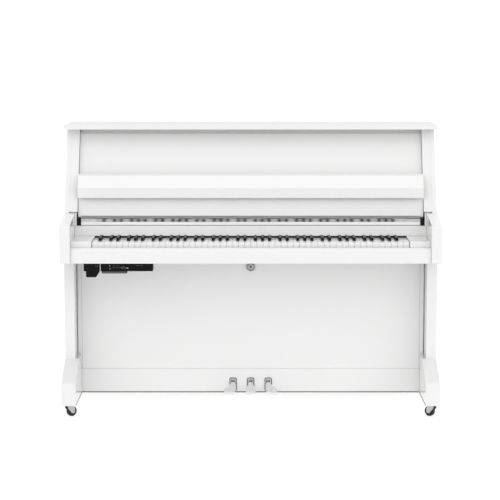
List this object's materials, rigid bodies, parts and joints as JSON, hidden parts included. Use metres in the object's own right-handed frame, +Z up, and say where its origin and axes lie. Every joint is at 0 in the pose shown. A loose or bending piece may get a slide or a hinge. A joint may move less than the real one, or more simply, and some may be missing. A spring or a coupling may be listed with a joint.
{
  "type": "upright piano",
  "caption": "White polished upright piano with a folding fallboard, full keyboard, three pedals, casters and a small electronic unit under the key bed.",
  "frame": {"origin": "on the floor, under the middle of the outer box", "axes": "+Z up, the player sits at -Y, +X towards the treble end"},
  "size_m": [1.484, 0.59, 1.125],
  "materials": {
    "case_white": "polished white polyester lacquer on board",
    "lip_white": "polished white polyester lacquer on board",
    "beech": "planed hardwood",
    "pine": "planed softwood",
    "spruce": "satin varnished spruce",
    "cast_plate": "bronze lacquered iron",
    "steel": "steel",
    "polished_steel": "polished plating",
    "unit_black": "black moulded plastic",
    "control_grey": "dark grey moulded plastic",
    "key_white": "polished white key covering on wood",
    "key_black": "satin black key covering on wood",
    "felt": "pressed felt",
    "hammer_felt": "pressed wool felt",
    "soft_black": "black rubber",
    "wheel": "hard black wheel"
  },
  "bodies": {
    "case": {"side_panel_left": "case_white", "side_panel_right": "case_white", "side_trim": "case_white", "key_bed": "case_white", "key_slip": "case_white", "nameboard": "case_white", "nameboard_felt": "felt", "bottom_rail": "case_white", "bottom_board": "case_white", "upper_front_panel": "case_white", "fallboard_back_rail": "case_white", "fallboard_buffers": "soft_black", "long_hinge_leaf": "polished_steel", "lid_hinge_leaves": "polished_steel", "key_frame": "beech", "action_frame": "beech", "back_frame": "pine", "soundboard": "spruce", "iron_frame": "cast_plate", "bridges": "beech", "strings": "steel", "tuning_pins": "steel", "pedal_brackets": "steel", "pedal_plates": "polished_steel", "caster_mounts": "steel", "control_unit": "unit_black", "socket_box": "unit_black"},
    "lid": {"lid": "case_white", "lid_hinge_flaps": "polished_steel"},
    "fallboard": {"fallboard": "case_white", "long_hinge_flap": "polished_steel", "lip_hinge_leaf": "polished_steel"},
    "fallboard_lip": {"fallboard_lip": "lip_white", "lip_hinge_flap": "polished_steel"},
    "lower_panel": {"lower_front_panel": "case_white"},
    "panel_lock": {"panel_lock": "polished_steel"},
    "white_keys": {"white_keys": "key_white"},
    "black_keys": {"black_keys": "key_black"},
    "middle_c_key": {"middle_c_key": "key_white"},
    "wippens": {"wippens": "beech"},
    "sharp_wippens": {"sharp_wippens": "beech"},
    "sharp_hammers": {"sharp_hammers": "hammer_felt"},
    "middle_c_wippen": {"middle_c_wippen": "beech"},
    "hammers": {"hammers": "hammer_felt"},
    "middle_c_hammer": {"middle_c_hammer": "hammer_felt"},
    "dampers": {"dampers": "hammer_felt"},
    "middle_c_damper": {"middle_c_damper": "hammer_felt"},
    "soft_pedal": {"soft_pedal": "polished_steel"},
    "practice_pedal": {"practice_pedal": "polished_steel"},
    "sustain_pedal": {"sustain_pedal": "polished_steel"},
    "soft_pedal_rod": {"soft_pedal_rod": "beech"},
    "practice_pedal_rod": {"practice_pedal_rod": "beech"},
    "sustain_pedal_rod": {"sustain_pedal_rod": "beech"},
    "front_left_caster_fork": {"front_left_caster_fork": "steel"},
    "front_left_caster_wheel": {"front_left_caster_wheel": "wheel"},
    "front_right_caster_fork": {"front_right_caster_fork": "steel"},
    "front_right_caster_wheel": {"front_right_caster_wheel": "wheel"},
    "rear_caster_wheels": {"rear_caster_wheels": "wheel"},
    "volume_knob": {"volume_knob": "control_grey"},
    "function_buttons": {"function_buttons": "control_grey"}
  },
  "joints": [
    {"name": "lid_hinge", "type": "hinge", "parent": "case", "child": "lid", "pos_m": [0, 0.289, 1.1035], "axis": [-1, 0, 0], "range_deg": [0, 95]},
    {"name": "fallboard_hinge", "type": "hinge", "parent": "case", "child": "fallboard", "pos_m": [0, -0.078, 0.763], "axis": [1, 0, 0], "range_deg": [0, 104]},
    {"name": "fallboard_lip_hinge", "type": "hinge", "parent": "fallboard", "child": "fallboard_lip", "pos_m": [0, -0.04552, 0.92785], "axis": [1, 0, 0], "range_deg": [-104, 0]},
    {"name": "lower_panel_tilt", "type": "hinge", "parent": "case", "child": "lower_panel", "pos_m": [0, -0.035, 0.1495], "axis": [1, 0, 0], "range_deg": [0, 12]},
    {"name": "panel_lock_turn", "type": "hinge", "parent": "lower_panel", "child": "panel_lock", "pos_m": [0, -0.035, 0.562], "axis": [0, 1, 0], "range_deg": [0, 90]},
    {"name": "white_key_rock", "type": "hinge", "parent": "case", "child": "white_keys", "pos_m": [0, -0.033, 0.664], "axis": [1, 0, 0], "range_deg": [0, 2.6], "stiffness_Nm_per_rad": 90, "springref_deg": -5.73},
    {"name": "black_key_rock", "type": "hinge", "parent": "case", "child": "black_keys", "pos_m": [0, -0.033, 0.664], "axis": [1, 0, 0], "range_deg": [0, 2.6], "stiffness_Nm_per_rad": 50, "springref_deg": -5.73},
    {"name": "middle_c_rock", "type": "hinge", "parent": "case", "child": "middle_c_key", "pos_m": [0, -0.033, 0.664], "axis": [1, 0, 0], "range_deg": [0, 2.6], "stiffness_Nm_per_rad": 2, "springref_deg": -5.73},
    {"name": "wippen_lift", "type": "hinge", "parent": "case", "child": "wippens", "pos_m": [0, 0.137, 0.75], "axis": [1, 0, 0], "range_deg": [-11.6, 0]},
    {"name": "sharp_wippen_lift", "type": "hinge", "parent": "case", "child": "sharp_wippens", "pos_m": [0, 0.137, 0.75], "axis": [1, 0, 0], "range_deg": [-11.6, 0]},
    {"name": "sharp_hammer_swing", "type": "hinge", "parent": "case", "child": "sharp_hammers", "pos_m": [0, 0.108, 0.86], "axis": [1, 0, 0], "range_deg": [-20, 0]},
    {"name": "middle_c_wippen_lift", "type": "hinge", "parent": "case", "child": "middle_c_wippen", "pos_m": [0, 0.137, 0.75], "axis": [1, 0, 0], "range_deg": [-11.6, 0]},
    {"name": "hammer_swing", "type": "hinge", "parent": "case", "child": "hammers", "pos_m": [0, 0.108, 0.86], "axis": [1, 0, 0], "range_deg": [-20, 0]},
    {"name": "middle_c_hammer_swing", "type": "hinge", "parent": "case", "child": "middle_c_hammer", "pos_m": [0, 0.108, 0.86], "axis": [1, 0, 0], "range_deg": [-20, 0]},
    {"name": "damper_release", "type": "hinge", "parent": "case", "child": "dampers", "pos_m": [0, 0.1295, 0.8], "axis": [1, 0, 0], "range_deg": [0, 4]},
    {"name": "middle_c_damper_release", "type": "hinge", "parent": "case", "child": "middle_c_damper", "pos_m": [0, 0.1295, 0.8], "axis": [1, 0, 0], "range_deg": [0, 4]},
    {"name": "soft_pedal_rock", "type": "hinge", "parent": "case", "child": "soft_pedal", "pos_m": [0, 0.035, 0.098], "axis": [1, 0, 0], "range_deg": [0, 3.5], "stiffness_Nm_per_rad": 30, "springref_deg": -5.73},
    {"name": "soft_rod_lift", "type": "slide", "parent": "case", "child": "soft_pedal_rod", "axis": [0, 0, 1], "range_m": [0, 0.0069]},
    {"name": "practice_pedal_rock", "type": "hinge", "parent": "case", "child": "practice_pedal", "pos_m": [0, 0.035, 0.098], "axis": [1, 0, 0], "range_deg": [0, 3.5], "stiffness_Nm_per_rad": 30, "springref_deg": -5.73},
    {"name": "practice_rod_lift", "type": "slide", "parent": "case", "child": "practice_pedal_rod", "axis": [0, 0, 1], "range_m": [0, 0.0069]},
    {"name": "sustain_pedal_rock", "type": "hinge", "parent": "case", "child": "sustain_pedal", "pos_m": [0, 0.035, 0.098], "axis": [1, 0, 0], "range_deg": [0, 3.5], "stiffness_Nm_per_rad": 30, "springref_deg": -5.73},
    {"name": "sustain_rod_lift", "type": "slide", "parent": "case", "child": "sustain_pedal_rod", "axis": [0, 0, 1], "range_m": [0, 0.0069]},
    {"name": "front_left_caster_swivel", "type": "hinge", "parent": "case", "child": "front_left_caster_fork", "pos_m": [-0.711, -0.245, 0.0425], "axis": [0, 0, 1], "continuous": true},
    {"name": "front_left_wheel_roll", "type": "hinge", "parent": "front_left_caster_fork", "child": "front_left_caster_wheel", "pos_m": [-0.70181, -0.23729, 0.02], "axis": [0.6428, -0.766, 0], "continuous": true},
    {"name": "front_right_caster_swivel", "type": "hinge", "parent": "case", "child": "front_right_caster_fork", "pos_m": [0.711, -0.245, 0.0425], "axis": [0, 0, 1], "continuous": true},
    {"name": "front_right_wheel_roll", "type": "hinge", "parent": "front_right_caster_fork", "child": "front_right_caster_wheel", "pos_m": [0.70181, -0.23729, 0.02], "axis": [0.6428, 0.766, 0], "continuous": true},
    {"name": "rear_wheel_roll", "type": "hinge", "parent": "case", "child": "rear_caster_wheels", "pos_m": [0, 0.253, 0.02], "axis": [1, 0, 0], "continuous": true},
    {"name": "volume_turn", "type": "hinge", "parent": "case", "child": "volume_knob", "pos_m": [-0.49, -0.276, 0.592], "axis": [0, -1, 0], "range_deg": [-135, 135]},
    {"name": "function_button_press", "type": "slide", "parent": "case", "child": "function_buttons", "axis": [0, 1, 0], "range_m": [0, 0.0015], "stiffness_N_per_m": 800, "springref_m": -0.0008}
  ],
  "couplings": [
    {"joint": "fallboard_lip_hinge", "follows": "fallboard_hinge", "ratio": -1},
    {"joint": "wippen_lift", "follows": "white_key_rock", "ratio": -4.4615},
    {"joint": "hammer_swing", "follows": "white_key_rock", "ratio": -7.6923},
    {"joint": "sharp_wippen_lift", "follows": "black_key_rock", "ratio": -4.4615},
    {"joint": "sharp_hammer_swing", "follows": "black_key_rock", "ratio": -7.6923},
    {"joint": "middle_c_wippen_lift", "follows": "middle_c_rock", "ratio": -4.4615},
    {"joint": "middle_c_hammer_swing", "follows": "middle_c_rock", "ratio": -7.6923},
    {"joint": "middle_c_damper_release", "follows": "middle_c_rock", "ratio": 1.5385},
    {"joint": "damper_release", "follows": "sustain_pedal_rock", "ratio": 1.1429},
    {"joint": "soft_rod_lift", "follows": "soft_pedal_rock", "m_per_rad": 0.112},
    {"joint": "practice_rod_lift", "follows": "practice_pedal_rock", "m_per_rad": 0.112},
    {"joint": "sustain_rod_lift", "follows": "sustain_pedal_rock", "m_per_rad": 0.112}
  ]
}
